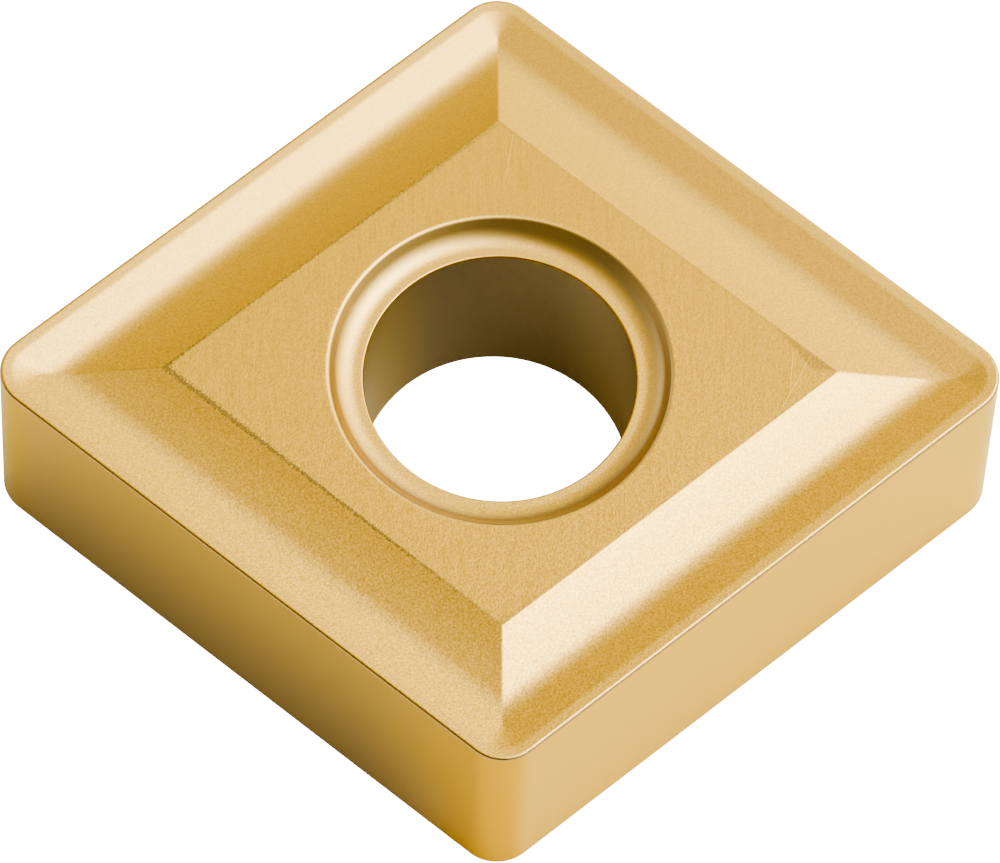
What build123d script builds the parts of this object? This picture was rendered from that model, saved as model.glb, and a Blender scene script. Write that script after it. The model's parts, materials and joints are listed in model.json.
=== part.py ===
from build123d import *
from math import cos, radians, sin, tan
import os

# An indexable carbide turning insert: an 80 degree rhombus with flat seats, a countersunk
# clamping bore and a pressed chip-breaker groove running round both cutting faces.
# Lengths are in millimetres and angles in degrees. The origin is on the bore's axis, in the
# lower seat. +Z runs up the bore and +X points at one of the two 80 degree cutting corners.

# ---- Rhombus ----
inscribed_circle = 12.70      # touches all four flanks
corner_angle = 80.0           # at the two corners on the X axis
nose_radius = 0.80            # rounding of every corner, seen from above
thickness = 4.76              # from a cutting edge to the seat on the other face
seat_raise = 0.12             # a seat stands this far proud of the cutting edge around it

# ---- Chip-breaker groove: a section square to the cutting edge ----
hone_radius = 0.05            # brushed rounding of the cutting edge
land_width = 0.24
land_angle = 4.0              # the land already falls a little inwards
land_blend_radius = 0.50
rake_angle = 12.5             # fall from the land to the groove's floor
floor_distance = 1.03         # lowest line of the groove, measured in from the flank
floor_radius = 1.00
seat_inset = 2.22             # the groove's back wall ends here, at the edge of the seat

# ---- Bore and countersinks: a section through the bore's axis ----
bore_radius = 2.58
bore_rim_radius = 0.04
sink_radius = 3.25            # where the countersink's wall would meet the seat
sink_depth = 0.34
sink_wall_angle = 52.0        # from the seat
sink_floor_radius = 0.46
sink_rim_radius = 0.10

# ---- Derived sizes ----
height = thickness + seat_raise
inradius = inscribed_circle / 2
half_corner = radians(corner_angle / 2)
mid_plane = Plane.XY.offset(height / 2)
overcut = 0.50                # how far cutters reach past the faces they cut


def rhombus(distance):
    """Corners of the rhombus whose sides lie this far from the bore's axis."""
    half_length = distance / sin(half_corner)
    half_width = distance / cos(half_corner)
    return [
        Vector(half_length, 0),
        Vector(0, half_width),
        Vector(-half_length, 0),
        Vector(0, -half_width),
    ]


def along(start, end):
    """Unit vector from one point to another."""
    return (end - start).normalized()


def edge_plane(start, end):
    """Section plane at the start of a side: x points in from the flank, y up from the edge."""
    side = along(start, end)
    inward = Vector(-side.Y, side.X)
    foot = start - inward * nose_radius
    return Plane(origin=(foot.X, foot.Y, thickness), x_dir=inward, z_dir=inward.cross(Vector(0, 0, 1)))


# ---- Groove section ----
# The hone leaves the vertical flank below the theoretical sharp edge and runs on into the land.
land_slope = radians(land_angle)
rake_slope = radians(rake_angle)
land_direction = Vector(cos(land_slope), -sin(land_slope))
rake_direction = Vector(cos(rake_slope), -sin(rake_slope))
hone_drop = hone_radius * (cos(land_slope) + tan(land_slope) * (1 + sin(land_slope)))
land_end = Vector(land_width, -land_width * tan(land_slope))
blend_setback = land_blend_radius * tan((rake_slope - land_slope) / 2)
rake_run = floor_distance - floor_radius * sin(rake_slope) - land_width
rake_end = land_end + rake_direction * (rake_run / cos(rake_slope))

with BuildLine() as groove_outline:
    hone = JernArc((0, -hone_drop), (0, 1), hone_radius, -(90 + land_angle))
    land = Line(hone @ 1, land_end - land_direction * blend_setback)
    land_blend = JernArc(land @ 1, land_direction, land_blend_radius, land_angle - rake_angle)
    rake = Line(land_blend @ 1, rake_end)
    floor = JernArc(rake @ 1, rake_direction, floor_radius, 2 * rake_angle)
    back_wall = TangentArc(floor @ 1, (seat_inset, seat_raise), tangent=floor % 1)
    run_out = Line(back_wall @ 1, (back_wall @ 1) + (back_wall % 1) * overcut)
    top = Vector((run_out @ 1).X, seat_raise + overcut)
    Polyline(run_out @ 1, top, (-overcut, top.Y), (-overcut, -hone_drop), hone @ 0)


def side_cutter(start, end):
    """Groove along one side, mitred to its neighbours on the lines from the nose centres inwards."""
    side = along(start, end)
    outward = Vector(side.Y, -side.X)
    beyond = outward * (nose_radius + 2 * overcut)
    with BuildPart() as cutter:
        with BuildSketch(edge_plane(start, end)):
            add(groove_outline.line)
            make_face()
        extrude(amount=(end - start).length, dir=side)
        with BuildSketch():
            with BuildLine():
                Polyline(Vector(0, 0), start, start + beyond, end + beyond, end, close=True)
            make_face()
        extrude(amount=2 * height, mode=Mode.INTERSECT)
    return cutter.part


def nose_cutter(nose, end, turn):
    """Groove round one nose: the outer part of the same section, turned about the nose's centre."""
    with BuildPart() as cutter:
        with BuildSketch(edge_plane(nose, end)):
            add(groove_outline.line)
            make_face()
            with Locations(((nose_radius - overcut) / 2, 0)):
                Rectangle(nose_radius + overcut, 2 * height, mode=Mode.INTERSECT)
        revolve(axis=Axis((nose.X, nose.Y, 0), (0, 0, 1)), revolution_arc=-turn)
    return cutter.part


nose_centres = rhombus(inradius - nose_radius)
next_centres = nose_centres[1:] + nose_centres[:1]
nose_turns = [180 - corner_angle, corner_angle] * 2
side_cutters = [side_cutter(start, end) for start, end in zip(nose_centres, next_centres)]
nose_cutters = [nose_cutter(*nose) for nose in zip(nose_centres, next_centres, nose_turns)]

# ---- Bore and countersinks ----
sink_foot = sink_radius - sink_depth / tan(radians(sink_wall_angle))
sink_floor = height - sink_depth

with BuildPart() as bore_cutter:
    with BuildSketch(Plane.XZ):
        with BuildLine():
            wall = FilletPolyline(
                (bore_radius, height / 2),
                (bore_radius, sink_floor),
                (sink_foot, sink_floor),
                (sink_radius, height),
                (sink_radius + overcut, height),
                radius=[bore_rim_radius, sink_floor_radius, sink_rim_radius],
            )
            Polyline(wall @ 1, (sink_radius + overcut, height + overcut), (0, height + overcut))
            Polyline((0, height + overcut), (0, height / 2), wall @ 0)
        make_face()
    revolve(axis=Axis.Z)
    mirror(about=mid_plane)

# ---- Insert ----
# Pressed and sintered as one piece. The groove and the countersink are the same on both faces.
with BuildPart() as insert_body:
    with BuildSketch() as blank_outline:
        with BuildLine():
            Polyline(*rhombus(inradius), close=True)
        make_face()
        fillet(blank_outline.vertices(), nose_radius)
    extrude(amount=height)
    for cutter in side_cutters + nose_cutters:
        add(cutter, mode=Mode.SUBTRACT)
        mirror(cutter, about=mid_plane, mode=Mode.SUBTRACT)
    add(bore_cutter.part, mode=Mode.SUBTRACT)

insert_body.part.label = "insert_body"
print(f"insert_body: {insert_body.part.volume:.1f} mm3, {len(insert_body.faces())} faces")

os.makedirs("parts", exist_ok=True)
export_step(insert_body.part, "parts/insert_body.step")
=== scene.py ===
# %% [markdown]
# # A gold-coated carbide insert
# A turning insert is a small lozenge of cemented carbide. It is pressed from powder, sintered, ground on
# its two seats, brushed along its cutting edges, and at last coated in a vacuum with a few micrometres of
# gold-coloured nitride. The CAD model holds its true size. This lesson gives it a finely divided skin, the
# coating's grain and scratches, and a small studio to stand in.

import json
import math

import bpy
from mathutils import Matrix, Vector


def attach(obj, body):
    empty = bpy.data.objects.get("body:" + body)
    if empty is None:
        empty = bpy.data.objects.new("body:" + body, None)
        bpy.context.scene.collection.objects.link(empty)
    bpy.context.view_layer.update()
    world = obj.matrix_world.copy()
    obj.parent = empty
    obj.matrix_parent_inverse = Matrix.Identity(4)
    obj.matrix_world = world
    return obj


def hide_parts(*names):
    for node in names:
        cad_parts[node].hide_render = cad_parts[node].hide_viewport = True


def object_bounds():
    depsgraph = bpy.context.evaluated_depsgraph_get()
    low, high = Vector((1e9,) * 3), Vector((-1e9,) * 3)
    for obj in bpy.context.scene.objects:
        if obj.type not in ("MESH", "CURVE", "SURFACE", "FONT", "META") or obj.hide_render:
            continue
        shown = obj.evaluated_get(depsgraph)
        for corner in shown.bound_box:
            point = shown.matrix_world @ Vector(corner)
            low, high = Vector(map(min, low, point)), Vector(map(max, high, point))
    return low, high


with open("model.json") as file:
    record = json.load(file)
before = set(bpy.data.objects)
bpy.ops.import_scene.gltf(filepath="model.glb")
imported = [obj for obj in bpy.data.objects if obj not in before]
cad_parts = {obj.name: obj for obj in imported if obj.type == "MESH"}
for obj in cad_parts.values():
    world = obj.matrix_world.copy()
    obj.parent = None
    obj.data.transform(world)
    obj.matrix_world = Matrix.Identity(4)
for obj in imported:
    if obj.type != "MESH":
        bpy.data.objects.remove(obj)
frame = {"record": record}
cad_low, cad_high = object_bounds()
mm = 0.001
size_in_mm = [round(side / mm, 3) for side in cad_high - cad_low]
print(f"the packed part measures {size_in_mm} mm")

# %% [markdown]
# ## Sizes
# Every size is in metres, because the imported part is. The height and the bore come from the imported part
# itself. The rest are the sizes that a toolmaker would read off the drawing of the chip-breaker groove:
# distances in from the flank, heights over the cutting edge and angles of fall.

# %% Sizes of the insert
mounts = {mount["name"]: mount for mount in frame["record"]["mounts"]}
height = cad_high.z - cad_low.z
bore_radius = mounts["clamp_bore"]["dims"]["r_mm"] * mm

inscribed_radius = 6.35 * mm
half_corner = math.radians(40.0)
nose_radius = 0.80 * mm
mitre_softness = 0.035 * mm
seat_raise = 0.12 * mm

hone_radius = 0.06 * mm
land_width = 0.24 * mm
land_slope = math.radians(4.0)
land_blend_radius = 0.50 * mm
rake_slope = math.radians(12.5)
floor_distance = 1.03 * mm
floor_radius = 1.00 * mm
seat_inset = 2.255 * mm
seat_lip_radius = 0.04 * mm
seat_lip_slope = math.radians(18.0)

sink_radius = 3.25 * mm
sink_depth = 0.34 * mm
sink_wall_slope = math.radians(52.0)
sink_floor_radius = 0.51 * mm
sink_rim_radius = 0.10 * mm
bore_rim_radius = 0.04 * mm
print(f"height {height / mm:.2f} mm, bore radius {bore_radius / mm:.2f} mm")

# %% [markdown]
# ## A pen that draws sections
# The insert's section is straight runs joined by arcs that leave each run without a kink. A drawing like
# that could be a list of points, but nobody can check such a list. A pen that walks, turns and leaves
# points behind says the same thing in the drawing's own words.


# %% A pen for runs and arcs
class Pen:
    """Walks over a flat drawing: x runs in from the flank and z runs up. It keeps each place it passes."""

    support = 0.015 * mm

    def __init__(self, x, z, heading):
        self.x = x
        self.z = z
        self.heading = heading
        self.points = [(x, z)]

    def step(self, length, turn=0.0):
        middle = self.heading + turn / 2
        self.x += length * math.cos(middle)
        self.z += length * math.sin(middle)
        self.heading += turn
        self.points.append((self.x, self.z))

    def run(self, length, pieces):
        """A straight run. Its first and last steps are short, so that shading stays flat between them."""
        self.step(self.support)
        for _ in range(pieces):
            self.step((length - 2 * self.support) / pieces)
        self.step(self.support)

    def bend(self, radius, turn, pieces):
        """An arc of that radius, turning left for a positive turn."""
        share = turn / pieces
        chord = 2 * radius * math.sin(abs(share) / 2)
        for _ in range(pieces):
            self.step(chord, share)

    def bend_to(self, x, z, pieces):
        """The one arc that leaves along the present heading and ends at that point."""
        chord = math.hypot(x - self.x, z - self.z)
        turn = 2 * (math.atan2(z - self.z, x - self.x) - self.heading)
        self.bend(chord / (2 * math.sin(abs(turn) / 2)), turn, pieces)


# %% [markdown]
# ## The section from the flank to the seat
# Cut the insert square to a cutting edge and this is what shows: half the flank, the brushed edge, a land
# that already falls a little, the rake, the round floor, and the back wall that climbs to the seat. The
# sizes come from the drawing, and the arcs find their own ends.

# %% Draw the groove
middle_height = height / 2
edge_height = height - seat_raise
up = math.radians(90.0)
hone_drop = hone_radius * (math.cos(land_slope) + math.tan(land_slope) * (1 + math.sin(land_slope)))
hone_reach = hone_radius * (1 + math.sin(land_slope))
blend_reach = land_blend_radius * math.tan((rake_slope - land_slope) / 2)
land_length = (land_width - hone_reach) / math.cos(land_slope) - blend_reach
rake_run = floor_distance - floor_radius * math.sin(rake_slope) - land_width
rake_length = rake_run / math.cos(rake_slope) - blend_reach

lip_reach = seat_lip_radius * math.tan(seat_lip_slope / 2)
wall_end = (seat_inset - lip_reach, height - lip_reach * math.tan(seat_lip_slope))

groove_pen = Pen(0.0, middle_height, up)
groove_pen.run(edge_height - hone_drop - middle_height, pieces=6)
groove_pen.bend(hone_radius, -up - land_slope, pieces=12)
groove_pen.run(land_length, pieces=2)
groove_pen.bend(land_blend_radius, land_slope - rake_slope, pieces=5)
groove_pen.run(rake_length, pieces=4)
groove_pen.bend(floor_radius, 2 * rake_slope, pieces=14)
groove_pen.bend_to(*wall_end, pieces=10)
groove_pen.bend(seat_lip_radius, -groove_pen.heading, pieces=4)
groove_depth = edge_height - min(z for x, z in groove_pen.points if x > land_width)
print(f"the groove lies {groove_depth / mm:.3f} mm below the cutting edge")
print(f"the seat starts {groove_pen.x / mm:.3f} mm in from the flank")

# %% [markdown]
# ## The section from the seat to the middle of the bore
# The countersink is round while the groove follows the lozenge, so this part is drawn by its distance from
# the bore's axis instead. It is written as minus the radius, so that the pen still walks inwards.

# %% Draw the countersink
sink_floor = height - sink_depth
rim_reach = sink_rim_radius * math.tan(sink_wall_slope / 2)
foot_reach = sink_floor_radius * math.tan(sink_wall_slope / 2)
wall_length = sink_depth / math.sin(sink_wall_slope) - rim_reach - foot_reach
sink_foot = sink_radius - sink_depth / math.tan(sink_wall_slope)
sink_start = sink_radius + rim_reach

sink_pen = Pen(-sink_start, height, 0.0)
sink_pen.bend(sink_rim_radius, -sink_wall_slope, pieces=8)
sink_pen.step(wall_length)
sink_pen.bend(sink_floor_radius, sink_wall_slope, pieces=16)
sink_pen.run(sink_foot - foot_reach - bore_radius - bore_rim_radius, pieces=2)
sink_pen.bend(bore_rim_radius, -up, pieces=10)
sink_pen.run(sink_floor - bore_rim_radius - middle_height, pieces=8)
print(f"the section ends {-sink_pen.x / mm:.3f} mm from the axis, {sink_pen.z / mm:.3f} mm up")

# %% [markdown]
# ## One closed section
# Both parts are joined across the seat, and the lower half is the upper half mirrored. Each point keeps
# five numbers: how far in from the flank it lies, its radius, how round its path is, its height, and how
# far along the section it stands. The sweep needs the first four. The last lets the material find its
# zones later.

# %% Join the section and store its numbers
seat_rows = 8
seat_width = inscribed_radius - groove_pen.x - sink_start
support_share = Pen.support / seat_width


def seat_points():
    """Rows across the flat seat: the path turns from the lozenge at 0 to the circle at 1."""
    inner_shares = [row / seat_rows for row in range(1, seat_rows)]
    shares = [support_share, *inner_shares, 1 - support_share]
    return [(groove_pen.x, sink_start, share, height) for share in shares]


upper = [(x, 0.0, 0.0, z) for x, z in groove_pen.points]
upper += seat_points()
upper += [(0.0, -x, 1.0, z) for x, z in sink_pen.points]
lower = [(inset, radius, share, height - z) for inset, radius, share, z in upper[-2:0:-1]]
section_rows = upper + lower


def walked(rows):
    """Distance walked along the upper half of the section, for each of its points."""
    distance = 0.0
    reached = [distance]
    for before, after in zip(rows, rows[1:]):
        across_seat = (after[2] - before[2]) * seat_width
        on_circle = (before[1] - after[1]) if before[2] == after[2] else 0.0
        in_groove = after[0] - before[0] if after[2] == 0 else 0.0
        distance += math.hypot(across_seat + on_circle + in_groove, after[3] - before[3])
        reached.append(distance)
    return reached


upper_reach = walked(upper)
section_reach = upper_reach + upper_reach[-2:0:-1]
print(f"{len(section_rows)} points round the section, {upper_reach[-1] / mm:.2f} mm from flank to bore")


# %% Put the section into a mesh of its own
def section_object(rows, reach):
    """The section as a closed loop of edges, with its numbers stored on its points."""
    count = len(rows)
    edges = [(index, (index + 1) % count) for index in range(count)]
    mesh = bpy.data.meshes.new("insert_section")
    mesh.from_pydata([(0.0, 0.0, row[3]) for row in rows], edges, [])
    inset, from_axis, roundness, level = zip(*rows)
    stored = {"inset": inset, "from_axis": from_axis, "roundness": roundness}
    stored |= {"level": level, "across": reach}
    for name, values in stored.items():
        mesh.attributes.new(name, "FLOAT", "POINT").data.foreach_set("value", values)
    return bpy.data.objects.new("insert_section", mesh)


section = section_object(section_rows, section_reach)

# %% [markdown]
# ## Writing node trees as sums
# Node trees for shapes and for materials are full of small sums. Drawn as boxes and wires they are hard to
# read, so a small class wraps a socket and lets Python's own operators add the Math nodes. Every other
# node comes from one method that takes the node's type, its settings and what goes into its sockets.


# %% Sockets that can be added and multiplied
class Value:
    """What comes out of a node's socket: a number in sums, or a vector, colour or shape to pass on."""

    def __init__(self, tree, socket):
        self.tree = tree
        self.socket = socket

    def maths(self, operation, *values):
        inputs = dict(enumerate(values))
        return self.tree.add("ShaderNodeMath", {"operation": operation}, inputs)

    def __add__(self, other):
        return self.maths("ADD", self, other)

    def __sub__(self, other):
        return self.maths("SUBTRACT", self, other)

    def __rsub__(self, other):
        return self.maths("SUBTRACT", other, self)

    def __mul__(self, other):
        return self.maths("MULTIPLY", self, other)

    def __truediv__(self, other):
        return self.maths("DIVIDE", self, other)

    def __mod__(self, other):
        return self.maths("FLOORED_MODULO", self, other)

    def __abs__(self):
        return self.maths("ABSOLUTE", self)

    __radd__ = __add__
    __rmul__ = __mul__

    def floor(self):
        return self.maths("FLOOR", self)

    def cos(self):
        return self.maths("COSINE", self)

    def sin(self):
        return self.maths("SINE", self)

    def exp(self):
        return self.maths("EXPONENT", self)

    def at_least(self, other):
        return self.maths("MAXIMUM", self, other)

    def at_most(self, other):
        return self.maths("MINIMUM", self, other)

    def step(self, start, end):
        """0 up to start, 1 from end on, and a smooth change between them."""
        sockets = {"Value": self, "From Min": start, "From Max": end}
        return self.tree.add("ShaderNodeMapRange", {"interpolation_type": "SMOOTHSTEP"}, sockets)


class Tree:
    """Adds nodes to a node tree and sets or links their sockets."""

    def __init__(self, nodes):
        self.nodes = nodes

    def add(self, kind, settings=None, inputs=None, output=0):
        """A new node, its settings made first and its sockets fed next. Returns the output asked for."""
        node = self.nodes.nodes.new(kind)
        for name, setting in (settings or {}).items():
            setattr(node, name, setting)
        for key, value in (inputs or {}).items():
            self.feed(self.find(node.inputs, key), value)
        return Value(self, self.find(node.outputs, output)) if node.outputs else None

    @staticmethod
    def find(sockets, key):
        """A socket by its number among those in use, or by its name."""
        shown = [socket for socket in sockets if socket.enabled]
        return shown[key] if isinstance(key, int) else next(s for s in shown if s.name == key)

    def feed(self, socket, value):
        if isinstance(value, Value):
            self.nodes.links.new(value.socket, socket)
        else:
            socket.default_value = value

    def mix(self, factor, first, second, kind="FLOAT"):
        sockets = {"Factor": factor, "A": first, "B": second}
        return self.add("ShaderNodeMix", {"data_type": kind}, sockets, "Result")

    def colour(self, factor, first, second):
        """From the first colour to the second. A colour is a Value or three numbers."""
        first, second = [end if isinstance(end, Value) else (*end, 1.0) for end in (first, second)]
        return self.mix(factor, first, second, "RGBA")

    def vector(self, operation, *values):
        return self.add("ShaderNodeVectorMath", {"operation": operation}, dict(enumerate(values)))

    def scaled(self, vector, factor):
        return self.add("ShaderNodeVectorMath", {"operation": "SCALE"}, {0: vector, "Scale": factor})

    def point(self, x, y, z):
        return self.add("ShaderNodeCombineXYZ", inputs={0: x, 1: y, 2: z})


# %% [markdown]
# ## Sweeping the section round the lozenge
# Seen from above, every line on the insert follows one rule. Outside the nose centres it is a lozenge with
# round corners. Further in the rounding is used up and the corners become mitres. On the seat the path
# changes into the circle of the countersink. A sweep along a curve can't do that by itself, because it
# keeps one radius, but it can carry numbers. So Geometry Nodes sweep the section round a plain circle, to
# get the faces, and then put each point in its place by the rule.

# %% A tree with named inputs
sweep_inputs = {
    "Section": "NodeSocketObject",
    "Columns per Side": "NodeSocketInt",
    "Columns per Nose": "NodeSocketInt",
    "Inscribed Radius": "NodeSocketFloat",
    "Nose Radius": "NodeSocketFloat",
    "Half Corner": "NodeSocketFloat",
    "Mitre Softness": "NodeSocketFloat",
    "Finish": "NodeSocketMaterial",
}


def tree_with_inputs(name, kinds):
    """A geometry tree, the value of each named input inside it, and each input's identifier."""
    nodes = bpy.data.node_groups.new(name, "GeometryNodeTree")
    nodes.interface.new_socket("Geometry", in_out="INPUT", socket_type="NodeSocketGeometry")
    nodes.interface.new_socket("Geometry", in_out="OUTPUT", socket_type="NodeSocketGeometry")
    identifiers = {}
    for label, kind in kinds.items():
        socket = nodes.interface.new_socket(label, in_out="INPUT", socket_type=kind)
        identifiers[label] = socket.identifier
    tree = Tree(nodes)
    given = {label: tree.add("NodeGroupInput", output=label) for label in kinds}
    return tree, given, identifiers


# %% [markdown]
# The rail has one column of points for each step along a side and round a nose. A column's number says
# which side it belongs to and how far along it stands, and from that follow two vectors: the nose centre
# that it leans on, and the way outwards. Corners lie on the axes, by turns long and short of reach, so a
# side's normal leans off the diagonal.


# %% Where each column belongs
def column_vectors(tree, given):
    """How many points the rail has, and the vectors that each of them carries."""
    side_columns = given["Columns per Side"]
    nose_columns = given["Columns per Nose"]
    quarter = side_columns + nose_columns
    index = tree.add("GeometryNodeInputIndex") + nose_columns / 2
    number = (index / quarter).floor()
    within = index % quarter
    turned = (within - side_columns).at_least(0) / nose_columns
    along = (within / side_columns).at_most(1)

    half = given["Half Corner"]
    quarter_turn = math.pi / 2
    centre_radius = given["Inscribed Radius"] - given["Nose Radius"]
    start_angle = number * quarter_turn
    end_angle = start_angle + quarter_turn
    odd = number % 2
    long_reach = centre_radius / half.sin()
    short_reach = centre_radius / half.cos()
    start_reach = tree.mix(odd, long_reach, short_reach)
    end_reach = tree.mix(odd, short_reach, long_reach)
    lean = (1 - odd * 2) * (quarter_turn / 2 - half)
    nose_turn = quarter_turn - lean * 2
    normal_angle = start_angle + quarter_turn / 2 + lean + turned * nose_turn
    start = tree.point(start_reach * start_angle.cos(), start_reach * start_angle.sin(), 0.0)
    end = tree.point(end_reach * end_angle.cos(), end_reach * end_angle.sin(), 0.0)
    nose_centre = tree.mix(along, start, end, "VECTOR")
    outward = tree.point(normal_angle.cos(), normal_angle.sin(), 0.0)
    spoke = tree.add("GeometryNodeInputPosition")
    return quarter * 4, {"nose_centre": nose_centre, "outward": outward, "spoke": spoke}


# %% Sweep, then put each point in its place
def stored(tree, name, kind="FLOAT"):
    """A number or vector that the swept points carry."""
    return tree.add("GeometryNodeInputNamedAttribute", {"data_type": kind}, {"Name": name})


def placed(tree, given):
    """The place of each point: on the lozenge, on the circle, or between them on the seat."""
    inset = stored(tree, "inset")
    centre_radius = given["Inscribed Radius"] - given["Nose Radius"]
    rounding = (given["Nose Radius"] - inset).at_least(given["Mitre Softness"])
    shrink = (given["Inscribed Radius"] - inset - rounding) / centre_radius
    to_centre = tree.scaled(stored(tree, "nose_centre", "FLOAT_VECTOR"), shrink)
    to_skin = tree.scaled(stored(tree, "outward", "FLOAT_VECTOR"), rounding)
    lozenge = tree.vector("ADD", to_centre, to_skin)
    circle = tree.scaled(stored(tree, "spoke", "FLOAT_VECTOR"), stored(tree, "from_axis"))
    flat = tree.mix(stored(tree, "roundness"), lozenge, circle, "VECTOR")
    return tree.vector("ADD", flat, tree.point(0.0, 0.0, stored(tree, "level")))


def sweep_tree():
    """The whole rule as a tree. Returns it with the identifier of each named input."""
    tree, given, identifiers = tree_with_inputs("sweep_round_the_insert", sweep_inputs)
    resolution, carried = column_vectors(tree, given)

    # The rail is a circle of radius 1, so its own points are the directions of the round path.
    rail = tree.add("GeometryNodeCurvePrimitiveCircle", inputs={"Resolution": resolution, "Radius": 1.0})
    on_points = {"data_type": "FLOAT_VECTOR", "domain": "POINT"}
    for name, field in carried.items():
        carry = {"Geometry": rail, "Name": name, "Value": field}
        rail = tree.add("GeometryNodeStoreNamedAttribute", on_points, carry)

    source = tree.add("GeometryNodeObjectInfo", inputs={"Object": given["Section"]}, output="Geometry")
    profile = tree.add("GeometryNodeMeshToCurve", inputs={"Mesh": source})
    skin = tree.add("GeometryNodeCurveToMesh", inputs={"Curve": rail, "Profile Curve": profile})
    moves = {"Geometry": skin, "Position": placed(tree, given)}
    skin = tree.add("GeometryNodeSetPosition", inputs=moves)
    for name in [*carried, "inset", "from_axis", "roundness", "level"]:
        skin = tree.add("GeometryNodeRemoveAttribute", inputs={"Geometry": skin, "Name": name})
    skin = tree.add("GeometryNodeSetShadeSmooth", inputs={"Geometry": skin})
    skin = tree.add("GeometryNodeRealizeInstances", inputs={"Geometry": skin})
    coat = {"Geometry": skin, "Material": given["Finish"]}
    skin = tree.add("GeometryNodeSetMaterial", inputs=coat)
    tree.add("NodeGroupOutput", inputs={"Geometry": skin})
    return tree.nodes, identifiers


sweep, sweep_names = sweep_tree()
print(f"the tree has {len(sweep.nodes)} nodes and inputs {', '.join(sweep_names)}")

# %% [markdown]
# ## Where each finish starts
# The whole insert wears one coating, but it shows what lies under it. The flanks are smooth. The groove
# and the countersink keep the fine grain of the pressed powder. The seats were ground after sintering. One
# material holds all of these. Each point of the skin still knows how far along the section it stands, so
# the borders between finishes are just distances, and the drawing already holds them.

# %% Borders along the section
flank_end = edge_height - hone_drop - middle_height
hone_length = hone_radius * (up + land_slope)
seat_start = upper_reach[len(groove_pen.points) - 1]
rim_start = upper_reach[-len(sink_pen.points)]
wall_top = rim_start + sink_rim_radius * sink_wall_slope
wall_foot = wall_top + wall_length
sink_floor_start = wall_foot + sink_floor_radius * sink_wall_slope
bore_start = upper_reach[-1] - (sink_floor - bore_rim_radius - middle_height)
borders = {"flank end": flank_end, "seat start": seat_start, "rim": rim_start, "bore": bore_start}
for name, distance in borders.items():
    print(f"{name}: {distance / mm:.3f} mm along the section")


# %% Patterns and bands
def cloud(tree, place, scale, detail=2.0, roughness=0.5):
    """A cloudy pattern round 0.5."""
    inputs = {"Vector": place, "Scale": scale, "Detail": detail, "Roughness": roughness}
    return tree.add("ShaderNodeTexNoise", inputs=inputs)


def strengthened(pattern, strength):
    """The middle half of a pattern stretched to run from 0 to 1, then made stronger or weaker round 0.5."""
    return ((pattern - 0.25) / 0.5 - 0.5) * strength + 0.5


def band(value, start, end, softness):
    """1 between start and end, 0 outside."""
    entered = value.step(start - softness, start + softness)
    return entered * (1 - value.step(end - softness, end + softness))


# %% [markdown]
# ## Zones
# A zone is a mask: 1 where a finish is, 0 elsewhere. The seat's border is a little ragged, because the
# wheel ran out over pressed grain. Just there a dark line of painted shade runs along the seat's edge over
# a shallow dent, plainest on the two sides at -X, and near the corner at +X a darker sliver widens it.

# %% Masks for the finishes
soft_border = 0.010 * mm
seat_softness = 0.008 * mm
seat_raggedness = 0.10 * mm
seat_ragged_scale = 20 / mm
edge_shadow_share = 0.6
edge_shadow_softness = 0.012 * mm


def zone_masks(tree, place, across):
    """One mask for each finish."""
    ragged = across + (cloud(tree, place, seat_ragged_scale) - 0.5) * seat_raggedness
    edge_shadow_end = flank_end + edge_shadow_share * hone_length
    below_top = across.step(rim_start, wall_top)
    return {
        "flank": 1 - across.step(flank_end, flank_end + soft_border),
        "edge_shadow": band(across, flank_end, edge_shadow_end, edge_shadow_softness),
        "seat": band(ragged, seat_start, rim_start, seat_softness),
        "wall": below_top * (1 - across.step(wall_foot, sink_floor_start)),
        "bore": across.step(bore_start - soft_border, bore_start + 2 * soft_border),
    }


# %% The painted shade line round the seat and its sliver at +X
seat_shade_raggedness = 0.10 * mm
seat_shade_ragged_scale = 26 / mm
seat_shade_softness = 0.012 * mm
seat_shade_reach = (-0.012 * mm, 0.032 * mm)
seat_shade_lost_right = 0.85
seat_shade_lost_back = 0.35
seat_shade_right_fade = (-2.2 * mm, 1.0 * mm)
seat_shade_back_fade = (-0.2 * mm, 0.8 * mm)
sliver_width = 0.15 * mm
sliver_strength = 0.4
sliver_widening = (5.0 * mm, 6.4 * mm)
sliver_front_end = (0.0, 0.1 * mm)


def seat_edge_shade(tree, place, across, width, length):
    """The painted shade line round the seat, weaker towards +X and +Y, and a darker sliver at its +X
    corner.
    """
    ragged_seat_edge = across + (cloud(tree, place, seat_shade_ragged_scale) - 0.5) * seat_shade_raggedness
    start, end = seat_shade_reach
    line = band(ragged_seat_edge, seat_start + start, seat_start + end, seat_shade_softness)
    line = line * (1.0 - seat_shade_lost_right * width.step(*seat_shade_right_fade))
    line = line * (1.0 - seat_shade_lost_back * length.step(*seat_shade_back_fade))
    sliver_end = seat_start + sliver_width * width.step(*sliver_widening)
    sliver = band(ragged_seat_edge, seat_start, sliver_end, soft_border)
    return line + sliver_strength * sliver * length.step(*sliver_front_end)


# %% [markdown]
# ## Grain, grinding marks and scratches
# Pressed grain is a fine, even cloud. A grinding wheel leaves finer marks, drawn out in the direction it
# ran. Both grow stronger towards -Y. A few long scratches lie over them. They could be cut into the mesh,
# but a scratch is only a few micrometres deep, so a bump is the honest size for it.

# %% Scratches
scratch_core = 0.004 * mm
scratch_edge = 0.018 * mm
scratch_taper = 0.05 * mm

# Each has its start, its end, in millimetres, and how plain it is.
seat_scratches = [
    ((5.87, 0.36), (5.30, -0.75), 0.5),
    ((5.53, 0.42), (5.44, -0.50), 0.5),
    ((0.27, 5.05), (0.12, 4.10), 0.5),
    ((-3.31, -1.57), (-3.44, -2.34), 0.4),
]
corner_crease = [((-7.35, 0.04), (-6.85, 0.02), 0.35), ((-6.90, 0.02), (-6.40, 0.01), 0.35)]


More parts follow.
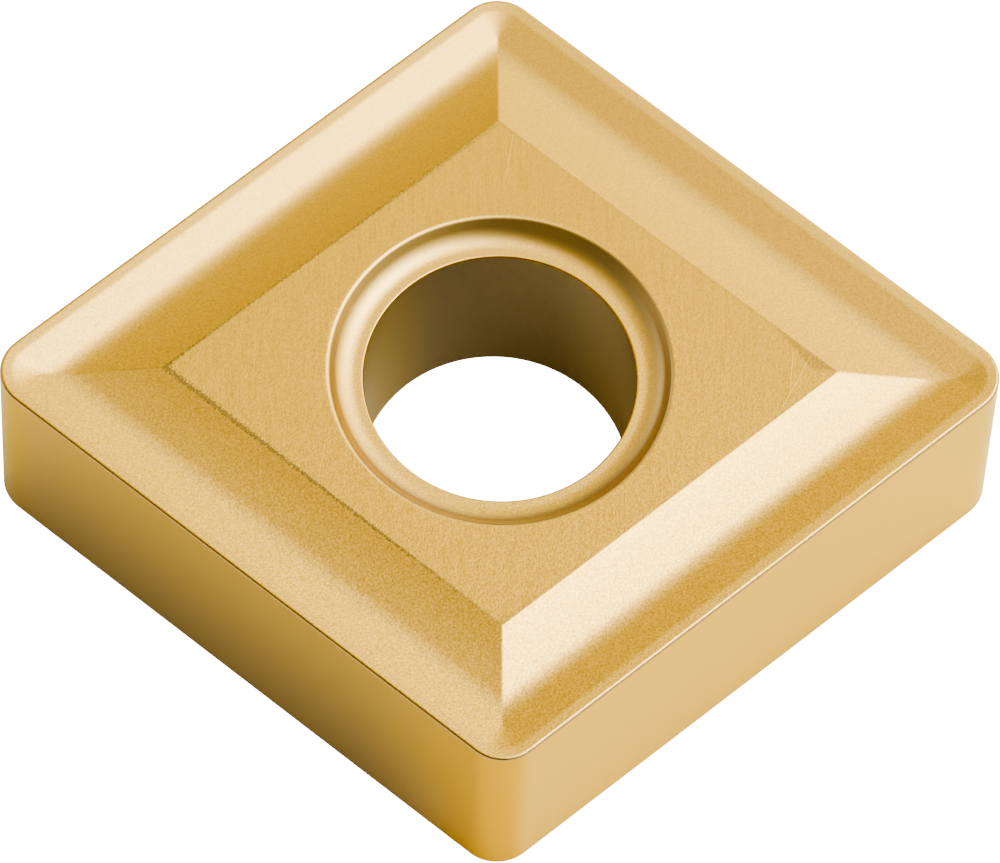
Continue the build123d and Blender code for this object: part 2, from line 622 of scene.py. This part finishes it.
def scratch(width, length, start, end):
    """1 along a thin scratch between two places."""
    run = math.hypot(end[0] - start[0], end[1] - start[1])
    ahead = ((end[0] - start[0]) / run, (end[1] - start[1]) / run)
    from_start = (width - start[0] * mm, length - start[1] * mm)
    beside = from_start[0] * ahead[1] - from_start[1] * ahead[0]
    passed = from_start[0] * ahead[0] + from_start[1] * ahead[1]
    return (1 - abs(beside).step(scratch_core, scratch_edge)) * band(passed, 0.0, run * mm, scratch_taper)


# %% Grain and grinding marks
grain_scale = 24 / mm
fine_mark_scale = 30 / mm
long_mark_scale = 16 / mm
fine_mark_stretch = (1.0, 0.65, 1.0)
long_mark_stretch = (1.0, 0.07, 1.0)
long_mark_strength = 0.5
fine_roughness = 0.7
front_strength = 1.38
strength_lost_back = 0.83
strength_fade = (-5 * mm, 5 * mm)


def grain_and_marks(tree, place, width, length):
    """The pattern of the pressed surfaces and that of the ground seat."""
    strength = front_strength - strength_lost_back * length.step(*strength_fade)
    grain = strengthened(cloud(tree, place, grain_scale, roughness=fine_roughness), strength)
    fine_place = tree.vector("MULTIPLY", place, fine_mark_stretch)
    marks = strengthened(cloud(tree, fine_place, fine_mark_scale, roughness=fine_roughness), strength)
    long_place = tree.vector("MULTIPLY", place, long_mark_stretch)
    marks = marks + (cloud(tree, long_place, long_mark_scale, detail=1.0) - 0.5) * long_mark_strength
    for start, end, plainness in seat_scratches:
        marks = marks + scratch(width, length, start, end) * plainness
    return grain, marks


print(f"{len(seat_scratches)} scratches on the seat, a crease in {len(corner_crease)} pieces beside it")

# %% [markdown]
# ## Shades of one coating, and painted light and shade
# Real gold nitride is never one gold, but most shades here are painted light and shade. The bore is painted
# dark where no light falls in and lighter at its sides. The flanks at -X are painted dark and olive towards
# their lower edge, a painted reflection of the floor's shadow, the noses get a warmer painted tone, the
# flank at +X is painted lighter, and a thin painted shadow lies under the cutting edge. The countersink's
# wall mirrors itself, and gold seen in gold turns orange, so the wall is painted paler where it does. One
# base colour with a noise over it would be simpler, but it would miss all of this.

# %% The shades, as red, green and blue
shades = {
    "pressed, low": (0.610, 0.365, 0.062),
    "pressed, high": (0.990, 0.605, 0.126),
    "ground, low": (0.600, 0.345, 0.048),
    "ground, high": (0.870, 0.515, 0.085),
    # Painted light and shade on the flanks: darker and olive low at -X, warmer noses, lighter at +X.
    "left flank": (0.820, 0.485, 0.075),
    "left flank, foot": (0.840, 0.540, 0.230),
    "shadowed flank": (0.580, 0.400, 0.160),
    "shadowed flank, foot": (0.530, 0.385, 0.225),
    "left nose": (0.790, 0.445, 0.045),
    "left nose, foot": (0.600, 0.420, 0.165),
    "front nose": (0.780, 0.445, 0.055),
    "right flank": (0.880, 0.560, 0.105),
    "edge shadow": (0.570, 0.400, 0.190),
    # Painted light on the countersink's wall, paler where it mirrors itself.
    "sink wall": (0.760, 0.505, 0.135),
    "sink wall, +X": (0.800, 0.590, 0.250),
    "sink wall, -Y": (0.880, 0.690, 0.270),
    # Painted shade in the bore, with painted light at its sides.
    "bore": (0.370, 0.285, 0.125),
    "bore, -X": (0.580, 0.395, 0.080),
    "bore, +X": (0.620, 0.480, 0.225),
    # Painted shade along the seat's edge.
    "seat edge shade": (0.200, 0.140, 0.040),
}

# A metal turns pale at a glancing angle. This tint keeps it gold there.
edge_tint = (1.0, 0.98, 0.74, 1.0)
print(f"{len(shades)} shades")

# %% Where the shades change
# Each pair is where a change starts and where it is complete: along X, along Y or upwards.
flank_foot = (0.0, 3.2 * mm)
# Where the painted shadow low on the flanks at -X ends.
flank_shadow_right_end = (-2.8 * mm, 0.0)
flank_shadow_upper_end = (1.2 * mm, 7.5 * mm)
left_nose_end = (-9.7 * mm, -8.5 * mm)
front_nose_start = (-1.6 * mm, -0.2 * mm)
# Where the painted light on the flank at +X starts.
right_flank_start = (0.2 * mm, 0.6 * mm)
mirrored_wall = (-2.5 * mm, 1.5 * mm)
front_wall_end = (-3.1 * mm, -2.3 * mm)
bore_middle = (-0.5 * mm, 0.5 * mm)
bore_sides = (0.9 * mm, 2.7 * mm)


# %% Flanks, countersink and bore
def flank_colour(tree, width, level):
    """Painted light and shade, -X to +X: nose, shadowed flank, front nose, lit flank."""
    # Painted light and shade, mirrored from the floor: darker and olive low at -X, warmer noses.
    foot = 1 - level.step(*flank_foot)
    flank_shadow = (1 - width.step(*flank_shadow_right_end)) * (1 - level.step(*flank_shadow_upper_end))
    clean = tree.colour(foot, shades["left flank"], shades["left flank, foot"])
    shadowed_flank = tree.colour(foot, shades["shadowed flank"], shades["shadowed flank, foot"])
    left_nose = tree.colour(foot, shades["left nose"], shades["left nose, foot"])
    colour = tree.colour(flank_shadow, clean, shadowed_flank)
    colour = tree.colour(width.step(*left_nose_end), left_nose, colour)
    colour = tree.colour(width.step(*front_nose_start), colour, shades["front nose"])
    # Painted light: the flank at +X is lighter.
    return tree.colour(width.step(*right_flank_start), colour, shades["right flank"])


def wall_colour(tree, width, length):
    """Painted light: the countersink's wall is paler towards +X and -Y, where it mirrors itself."""
    mirrored = (width - length).step(*mirrored_wall)
    colour = tree.colour(mirrored, shades["sink wall"], shades["sink wall, +X"])
    return tree.colour(length.step(*front_wall_end), shades["sink wall, -Y"], colour)


def bore_colour(tree, width):
    """Painted shade, dark where no light falls in, and painted light on both sides."""
    side = tree.colour(width.step(*bore_middle), shades["bore, -X"], shades["bore, +X"])
    return tree.colour(abs(width).step(*bore_sides), shades["bore"], side)


# %% [markdown]
# ## The material
# The finishes come together in one Principled shader. Grain and marks drive colour and height together, so
# each bright speck is also a raised one. The height is in metres, like everything else. Inside the sink
# and the bore the coating is a little less than fully metallic, as a thin coating over grey carbide is.

# %% An empty material
def empty_material(name):
    """A material without nodes, and the tree to fill it with."""
    material = bpy.data.materials.new(name)
    material.use_nodes = True
    material.node_tree.nodes.clear()
    return material, Tree(material.node_tree)


# %% Gold nitride over pressed, ground and brushed carbide
grain_height = 0.0012
smooth_grain_height = 0.0001
seat_line_dent = 0.001 * mm
seat_shade_darkness = 0.75
edge_shadow_darkness = 0.75
pressed_roughness = 0.30
smoother = 0.05
wall_metal_lost = 0.15
bore_metal_lost = 0.35


def coated_carbide():
    material, tree = empty_material("coated_carbide")
    place = tree.add("ShaderNodeTexCoord", output="Object")
    width = tree.add("ShaderNodeSeparateXYZ", inputs={0: place}, output="X")
    length = tree.add("ShaderNodeSeparateXYZ", inputs={0: place}, output="Y")
    level = tree.add("ShaderNodeSeparateXYZ", inputs={0: place}, output="Z")
    across = tree.add("ShaderNodeAttribute", {"attribute_name": "across"}, output="Fac")
    zones = zone_masks(tree, place, across)
    grain, marks = grain_and_marks(tree, place, width, length)

    line = seat_edge_shade(tree, place, across, width, length)
    # The crease is a dent in the bump and is painted dark as well: painted shade in it.
    for start, end, plainness in corner_crease:
        line = line + scratch(width, length, start, end) * plainness

    smooth = (zones["flank"] + zones["bore"]).at_most(1)
    pattern = tree.mix(zones["seat"], grain, marks)
    relief = (pattern * (1 - smooth) * grain_height + pattern * smooth_grain_height) * mm
    relief = relief - line * seat_line_dent
    bump = tree.add("ShaderNodeBump", inputs={"Strength": 1.0, "Distance": 1.0, "Height": relief})

    pressed = tree.colour(grain, shades["pressed, low"], shades["pressed, high"])
    ground = tree.colour(marks, shades["ground, low"], shades["ground, high"])
    colour = tree.colour(zones["seat"], pressed, ground)
    colour = tree.colour(zones["flank"], colour, flank_colour(tree, width, level))
    colour = tree.colour(zones["edge_shadow"] * edge_shadow_darkness, colour, shades["edge shadow"])
    colour = tree.colour(zones["wall"], colour, wall_colour(tree, width, length))
    colour = tree.colour(zones["bore"], colour, bore_colour(tree, width))
    # Painted shade along the seat's edge and in the crease.
    colour = tree.colour(line * seat_shade_darkness, colour, shades["seat edge shade"])

    sockets = {
        "Base Color": colour,
        "Metallic": 1.0 - wall_metal_lost * zones["wall"] - bore_metal_lost * zones["bore"],
        "Roughness": pressed_roughness - smoother * zones["seat"] - smoother * zones["flank"],
        "Specular Tint": edge_tint,
        "Normal": bump,
    }
    shader = tree.add("ShaderNodeBsdfPrincipled", inputs=sockets)
    tree.add("ShaderNodeOutputMaterial", inputs={"Surface": shader})
    return material


coating = coated_carbide()
print(f"the coating has {len(coating.node_tree.nodes)} nodes")

# %% [markdown]
# ## The insert's skin
# The modifier gets its inputs by their identifiers, is evaluated once, and its result is kept as a plain
# mesh. The section has done its work then and goes.

# %% Sweep it
sweep_values = {
    "Section": section,
    "Columns per Side": 60,
    "Columns per Nose": 16,
    "Inscribed Radius": inscribed_radius,
    "Nose Radius": nose_radius,
    "Half Corner": half_corner,
    "Mitre Softness": mitre_softness,
    "Finish": coating,
}


def swept_insert():
    """The finished skin as a plain mesh at the origin."""
    skin = bpy.data.objects.new("insert_skin", bpy.data.meshes.new("insert_skin"))
    for piece in (skin, section):
        bpy.context.scene.collection.objects.link(piece)
    modifier = skin.modifiers.new("sweep", "NODES")
    modifier.node_group = sweep
    for name, value in sweep_values.items():
        modifier[sweep_names[name]] = value
    evaluated = skin.evaluated_get(bpy.context.evaluated_depsgraph_get())
    skin.data = bpy.data.meshes.new_from_object(evaluated)
    skin.modifiers.clear()
    bpy.data.objects.remove(section)
    return skin


insert = swept_insert()
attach(insert, "root")
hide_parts("insert_body")
triangles = sum(len(face.vertices) - 2 for face in insert.data.polygons)
print(f"{len(insert.data.vertices)} points, {triangles} triangles")

# %% [markdown]
# ## Floor
# Polished metal has no colour of its own to show, only what it mirrors, so the room matters more than the
# lamps. The floor is plain: the eye sees it clean white, while the flanks mirror it as a warm, matt sheet.
# It lies a hair below the insert, so that the two never share a plane.

# %% Lay the floor
clean_white = 4.0
white = (1.0, 1.0, 1.0, 1.0)
floor_warmth = (0.97, 0.90, 0.59, 1.0)
floor_half_side = 300 * mm
floor_gap = 0.01 * mm


def white_to_the_eye(tree, seen, shader):
    """A surface that the eye sees as clean white while light meets the given shader."""
    from_eye = tree.add("ShaderNodeLightPath", output="Is Camera Ray")
    return tree.add("ShaderNodeMixShader", inputs={0: from_eye, 1: shader, 2: seen})


def floor_material():
    material, tree = empty_material("white_floor")
    matt = tree.add("ShaderNodeBsdfDiffuse", inputs={"Color": floor_warmth})
    clean = tree.add("ShaderNodeEmission", inputs={"Color": white, "Strength": clean_white})
    shown = white_to_the_eye(tree, clean, matt)
    tree.add("ShaderNodeOutputMaterial", inputs={"Surface": shown})
    return material


def floor_sheet(half_side, z):
    mesh = bpy.data.meshes.new("floor")
    turns = [(-1, -1), (1, -1), (1, 1), (-1, 1)]
    corners = [(x * half_side, y * half_side, z) for x, y in turns]
    mesh.from_pydata(corners, [], [(0, 1, 2, 3)])
    mesh.materials.append(floor_material())
    sheet = bpy.data.objects.new("floor", mesh)
    bpy.context.scene.collection.objects.link(sheet)
    return sheet


floor = floor_sheet(floor_half_side, cad_low.z - floor_gap)
print(f"the floor is {2 * floor_half_side:.2f} m wide")

# %% [markdown]
# ## Light
# Lamps with hard edges would show as hard shapes in the gold. Here each lamp is a soft glow in the sky
# that fades with the angle from its middle. A facet shows the glow that it mirrors, so a lamp's place sets
# which facet it lights, and its strength how pale that facet gets. Gold swallows blue: a cool lamp makes a
# facet cream, a warm one keeps it deep gold.

# %% Lamps of the room
# Name, azimuth and elevation in degrees, strength, and the tint of its light.
lamps = [
    ("overhead", 0, 90, 0.44, "warm"),
    ("key", 0, 62, 2.98, "cool"),
    ("key_side", 60, 62, 0.24, "mild"),
    ("high_back_left", 120, 62, 0.16, "mild"),
    ("high_left", 180, 62, 0.33, "warm"),
    ("high_front_right", 300, 62, 0.37, "plain"),
    ("side", 0, 36, 1.43, "mild"),
    ("side_back", 45, 36, 1.28, "mild"),
    ("back", 90, 36, 0.64, "warm"),
    ("back_left", 135, 36, 0.33, "plain"),
    ("front_left", 225, 36, 0.13, "warm"),
    ("front_right", 315, 36, 0.64, "plain"),
    ("low_right", 0, 10, 0.29, "plain"),
    ("low_right_back", 36, 10, 1.00, "plain"),
    ("low_back", 72, 10, 0.31, "plain"),
    ("low_back_left", 144, 10, 0.60, "plain"),
    ("low_left", 180, 10, 0.30, "plain"),
    ("low_front", 252, 10, 0.12, "plain"),
]
lamp_focus = 12.0
tints = {
    "cool": (0.86, 1.05, 2.25),
    "mild": (0.96, 1.02, 1.40),
    "plain": (1.00, 1.00, 1.00),
    "warm": (1.00, 0.93, 0.58),
}
print(f"{len(lamps)} lamps in {len(tints)} tints")


# %% Room light
def towards(azimuth, elevation):
    """The direction at that azimuth and elevation, both in degrees."""
    azimuth = math.radians(azimuth)
    elevation = math.radians(elevation)
    flat = math.cos(elevation)
    return (flat * math.cos(azimuth), flat * math.sin(azimuth), math.sin(elevation))


def glow(tree, direction, middle, strength, tint):
    """One lamp: brightest at its middle and soft round it."""
    sockets = {0: direction, 1: middle}
    facing = tree.add("ShaderNodeVectorMath", {"operation": "DOT_PRODUCT"}, sockets, "Value")
    return tree.scaled(tint, ((facing - 1) * lamp_focus).exp() * strength)


def room():
    world = bpy.data.worlds.new("room")
    world.use_nodes = True
    world.node_tree.nodes.clear()
    tree = Tree(world.node_tree)
    direction = tree.vector("NORMALIZE", tree.add("ShaderNodeTexCoord", output="Generated"))
    light = (0.0, 0.0, 0.0)
    for name, azimuth, elevation, strength, tint in lamps:
        patch = glow(tree, direction, towards(azimuth, elevation), strength, tints[tint])
        light = tree.vector("ADD", light, patch)
    lit = tree.add("ShaderNodeBackground", inputs={"Color": light, "Strength": 1.0})
    clean = tree.add("ShaderNodeBackground", inputs={"Color": white, "Strength": clean_white})
    shown = white_to_the_eye(tree, clean, lit)
    tree.add("ShaderNodeOutputWorld", inputs={"Surface": shown})
    return world


scene = bpy.context.scene
scene.world = room()
scene.view_settings.view_transform = "AgX"
scene.view_settings.look = "AgX - Very High Contrast"

# %% [markdown]
# ## The camera
# A long lens from well above keeps the lozenge's sides almost parallel. The camera looks at a point near
# the middle of the insert, and its place follows from two angles and a distance, as on a turntable.

# %% Camera
camera_azimuth = math.radians(-3.296)
camera_elevation = math.radians(63.276)
camera_roll = math.radians(3.281)
camera_distance = 198.90 * mm
camera_aim = Vector((0.055, -0.075, 2.44)) * mm
focal_length = 375.74
film_width = 36.0


def long_lens_camera():
    lens = bpy.data.cameras.new("camera")
    lens.sensor_width = film_width
    lens.lens = focal_length
    lens.clip_start = 1 * mm
    lens.clip_end = 2.0
    camera = bpy.data.objects.new("camera", lens)
    bpy.context.scene.collection.objects.link(camera)
    flat = math.cos(camera_elevation)
    back = Vector((math.sin(camera_azimuth) * flat, -math.cos(camera_azimuth) * flat, 0.0))
    back.z = math.sin(camera_elevation)
    turn = back.to_track_quat("Z", "Y").to_matrix().to_4x4()
    stand = Matrix.Translation(camera_aim + back * camera_distance)
    camera.matrix_world = stand @ turn @ Matrix.Rotation(camera_roll, 4, "Z")
    return camera


bpy.context.scene.camera = long_lens_camera()
print(f"a {focal_length:.0f} mm lens, {camera_distance:.3f} m away")
